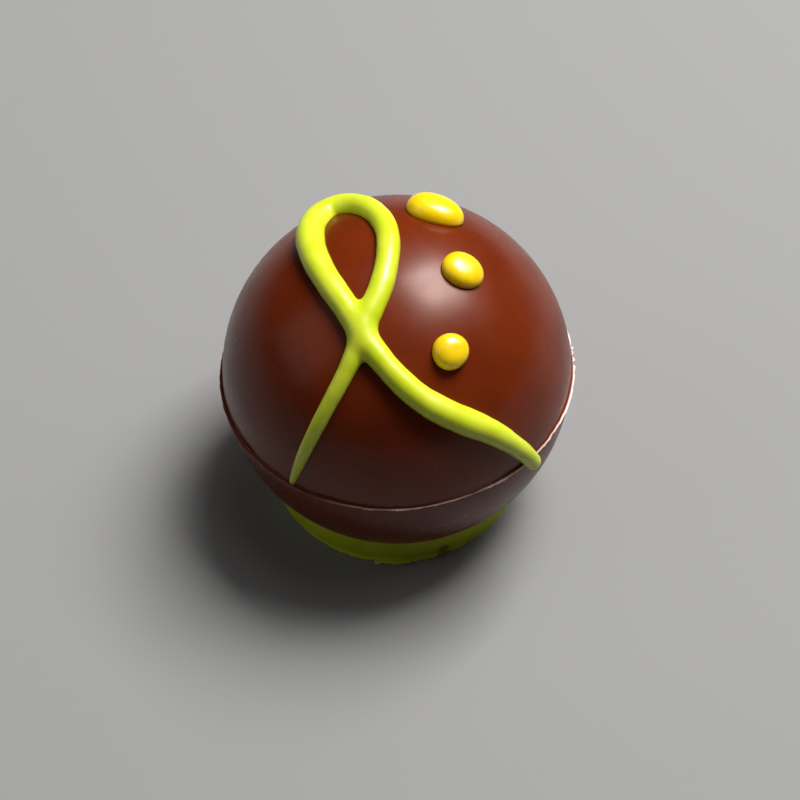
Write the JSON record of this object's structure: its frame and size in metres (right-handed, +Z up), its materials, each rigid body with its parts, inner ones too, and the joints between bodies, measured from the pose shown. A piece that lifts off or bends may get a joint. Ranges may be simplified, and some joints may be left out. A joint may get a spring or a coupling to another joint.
{
  "type": "chocolate ball praline",
  "caption": "Round glossy chocolate praline of two moulded halves on a lime green foot, with a piped lime ribbon line and yellow drops.",
  "frame": {"origin": "centre of the foot's flat underside, on the surface that the praline stands on", "axes": "+Z up; -Y is the front, where the piped line's leg and arm run down to the seam; +X is the viewer's right"},
  "size_m": [0.0306, 0.0306, 0.029],
  "materials": {
    "chocolate": "tempered dark milk chocolate, satin gloss, smooth moulded surface",
    "lime_chocolate": "lime green coloured white chocolate, soft satin gloss",
    "yellow_chocolate": "yellow coloured cocoa butter drops, soft gloss"
  },
  "bodies": {
    "root": {"upper_half": "chocolate", "lower_half": "chocolate", "foot": "lime_chocolate", "piped_ribbon": "lime_chocolate", "drop_1": "yellow_chocolate", "drop_2": "yellow_chocolate", "drop_3": "yellow_chocolate"}
  },
  "joints": []
}
